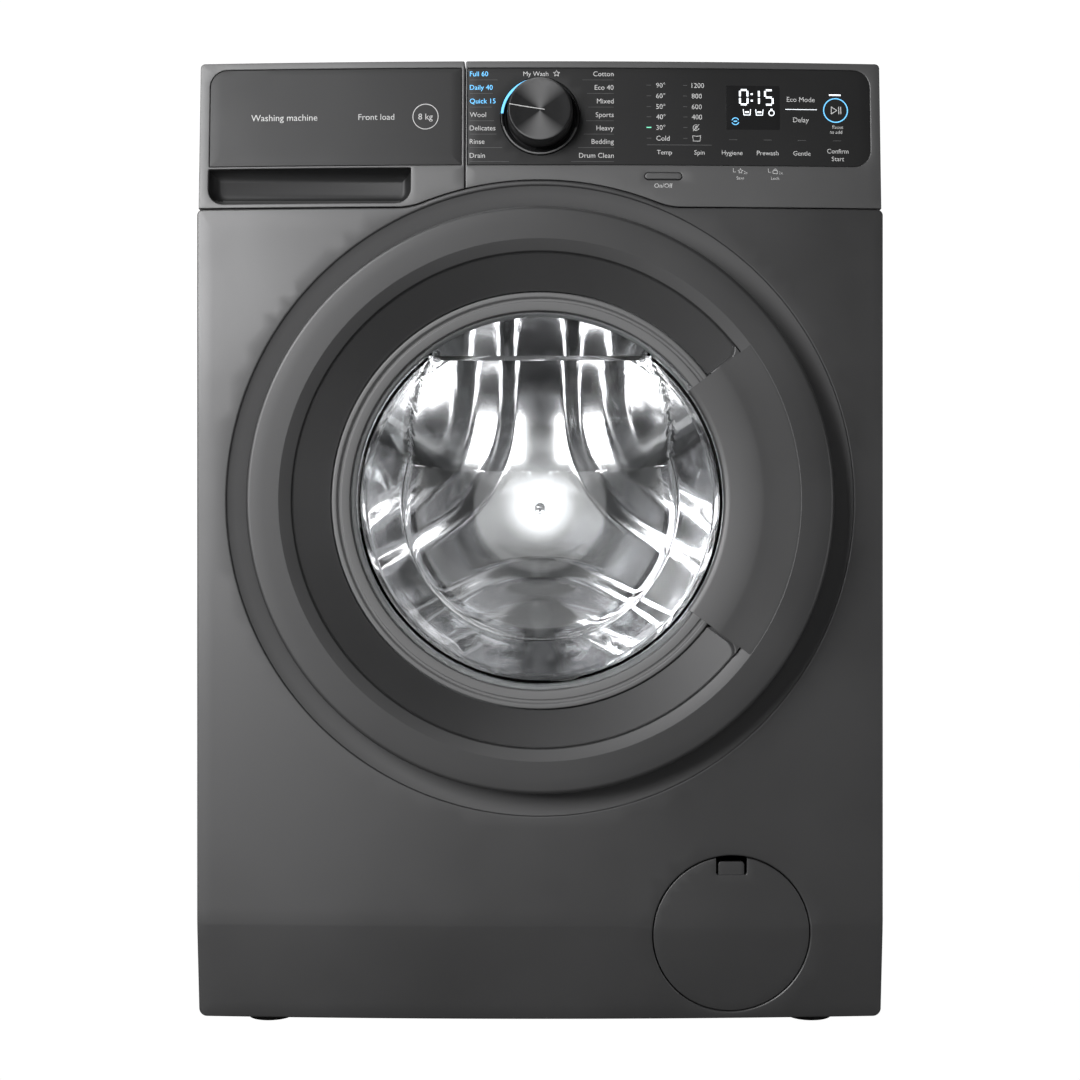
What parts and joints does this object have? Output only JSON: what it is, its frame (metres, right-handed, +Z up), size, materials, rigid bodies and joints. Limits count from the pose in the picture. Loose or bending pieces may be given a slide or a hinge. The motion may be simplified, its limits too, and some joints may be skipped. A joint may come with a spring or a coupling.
{
  "type": "front load washing machine",
  "caption": "Freestanding front loading washing machine with a round glass door, control fascia, detergent drawer, sprung tub and drain pump.",
  "frame": {"origin": "centre of the machine's footprint on the floor, midway between the frontmost and rearmost points", "axes": "+Z up, the front with the door faces -Y, +X to the right of someone facing the door's front"},
  "size_m": [0.597, 0.5872, 0.85],
  "materials": {
    "body_paint": "satin graphite paint with fine metallic flake",
    "fascia_plastic": "satin graphite moulded plastic",
    "insert_dark": "dark printed insert, satin",
    "door_ring": "satin graphite moulded plastic",
    "door_dark": "dark satin moulded plastic",
    "door_trim": "satin grey metallic plastic",
    "grip": "dark graphite satin plastic",
    "knob_metal": "spun dark aluminium",
    "light_ring": "dark gloss bezel with a light guide",
    "bowl_glass": "clear pressed glass",
    "stainless": "polished stainless steel",
    "zinc": "bright zinc plated steel",
    "cast_alu": "cast aluminium",
    "black_plastic": "moulded black plastic",
    "white_plastic": "moulded white polypropylene",
    "grey_plastic": "moulded grey plastic",
    "blue_plastic": "moulded blue plastic",
    "tub_plastic": "filled polypropylene",
    "pan_plastic": "moulded dark grey plastic",
    "worktop_laminate": "fine textured graphite laminate",
    "gasket_rubber": "grey moulded rubber",
    "black_rubber": "black rubber",
    "concrete": "grey cast ballast",
    "motor_steel": "grey motor lacquer",
    "spring_steel": "oiled spring steel"
  },
  "bodies": {
    "cabinet": {"side_panels": "body_paint", "rear_panel": "body_paint", "rear_cover": "zinc", "rear_screws": "zinc", "base_pan": "pan_plastic", "front_panel": "body_paint", "worktop": "worktop_laminate", "cross_braces": "zinc", "fascia": "fascia_plastic", "fascia_insert": "insert_dark", "knob_light_ring": "light_ring", "dispenser_housing": "white_plastic", "inlet_valve": "white_plastic", "drain_spigot": "black_plastic", "cord_gland": "black_plastic", "hinge_bracket": "zinc", "hinge_pin": "zinc", "door_lock": "black_plastic", "gasket": "gasket_rubber", "suspension_springs": "spring_steel", "damper_cylinders": "black_plastic", "pump_body": "black_plastic", "sump_hose": "black_rubber"},
    "door": {"door_outer_ring": "door_ring", "door_dark_ring": "door_dark", "door_trim_ring": "door_trim", "door_grip": "grip", "door_glass": "bowl_glass", "door_inner_frame": "grey_plastic", "hinge_leaf": "zinc", "latch_pin": "zinc"},
    "latch": {"latch_hook": "zinc"},
    "drawer": {"drawer_front": "fascia_plastic", "drawer_insert": "insert_dark", "drawer_tray": "white_plastic", "siphon_cap": "blue_plastic"},
    "knob": {"program_knob": "knob_metal"},
    "power": {"power_button": "fascia_plastic"},
    "drain_door": {"drain_cover": "body_paint"},
    "filter": {"pump_filter": "grey_plastic"},
    "impeller": {"pump_impeller": "white_plastic"},
    "tub": {"tub_front": "tub_plastic", "tub_rear": "tub_plastic", "front_counterweight": "concrete", "top_counterweight": "concrete", "heater": "stainless", "bearings": "zinc", "drive_belt": "black_rubber", "motor_housing": "motor_steel", "damper_rods": "grey_plastic"},
    "drum": {"drum_shell": "stainless", "drum_lifters": "grey_plastic", "drum_spider": "cast_alu", "drum_shaft": "zinc", "drum_pulley": "cast_alu"},
    "rotor": {"motor_rotor": "zinc"},
    "foot_fl": {"foot_front_left": "black_rubber"},
    "foot_fr": {"foot_front_right": "black_rubber"},
    "foot_rl": {"foot_rear_left": "black_rubber"},
    "foot_rr": {"foot_rear_right": "black_rubber"}
  },
  "joints": [
    {"name": "door_swing", "type": "hinge", "parent": "cabinet", "child": "door", "pos_m": [-0.243, -0.272, 0.467], "axis": [0, 0, -1], "range_deg": [0, 125]},
    {"name": "latch_turn", "type": "hinge", "parent": "door", "child": "latch", "pos_m": [0.228, -0.255, 0.467], "axis": [0, 0, -1], "range_deg": [0, 10], "stiffness_Nm_per_rad": 0.25},
    {"name": "drawer_slide", "type": "slide", "parent": "cabinet", "child": "drawer", "axis": [0, -1, 0], "range_m": [0, 0.18]},
    {"name": "knob_turn", "type": "hinge", "parent": "cabinet", "child": "knob", "pos_m": [0, -0.25784, 0.801], "axis": [0, -0.9971, 0.0767], "continuous": true},
    {"name": "power_press", "type": "slide", "parent": "cabinet", "child": "power", "axis": [0, 0.9971, -0.0767], "range_m": [0, 0.0015], "stiffness_N_per_m": 800},
    {"name": "drain_cover_pull", "type": "slide", "parent": "cabinet", "child": "drain_door", "axis": [0, -1, 0], "range_m": [0, 0.05]},
    {"name": "filter_turn", "type": "hinge", "parent": "cabinet", "child": "filter", "pos_m": [0.166, -0.2, 0.091], "axis": [0, -1, 0], "range_deg": [0, 90]},
    {"name": "impeller_spin", "type": "hinge", "parent": "cabinet", "child": "impeller", "pos_m": [0.166, -0.1, 0.091], "axis": [0, -1, 0], "continuous": true},
    {"name": "tub_bounce", "type": "slide", "parent": "cabinet", "child": "tub", "axis": [0, 0, 1], "range_m": [-0.008, 0.008], "stiffness_N_per_m": 22000, "springref_m": 0.01527, "deforming": ["suspension_springs", "gasket", "sump_hose"]},
    {"name": "drum_spin", "type": "hinge", "parent": "tub", "child": "drum", "pos_m": [0, 0, 0.467], "axis": [0, -1, 0], "continuous": true},
    {"name": "rotor_spin", "type": "hinge", "parent": "tub", "child": "rotor", "pos_m": [0, 0.1, 0.12], "axis": [0, -1, 0], "continuous": true},
    {"name": "foot_fl_turn", "type": "hinge", "parent": "cabinet", "child": "foot_fl", "pos_m": [-0.245, -0.18, 0.02], "axis": [0, 0, 1], "continuous": true},
    {"name": "foot_fr_turn", "type": "hinge", "parent": "cabinet", "child": "foot_fr", "pos_m": [0.245, -0.18, 0.02], "axis": [0, 0, 1], "continuous": true},
    {"name": "foot_rl_turn", "type": "hinge", "parent": "cabinet", "child": "foot_rl", "pos_m": [-0.245, 0.24, 0.02], "axis": [0, 0, 1], "continuous": true},
    {"name": "foot_rr_turn", "type": "hinge", "parent": "cabinet", "child": "foot_rr", "pos_m": [0.245, 0.24, 0.02], "axis": [0, 0, 1], "continuous": true}
  ],
  "couplings": [
    {"joint": "rotor_spin", "follows": "drum_spin", "ratio": 12}
  ]
}
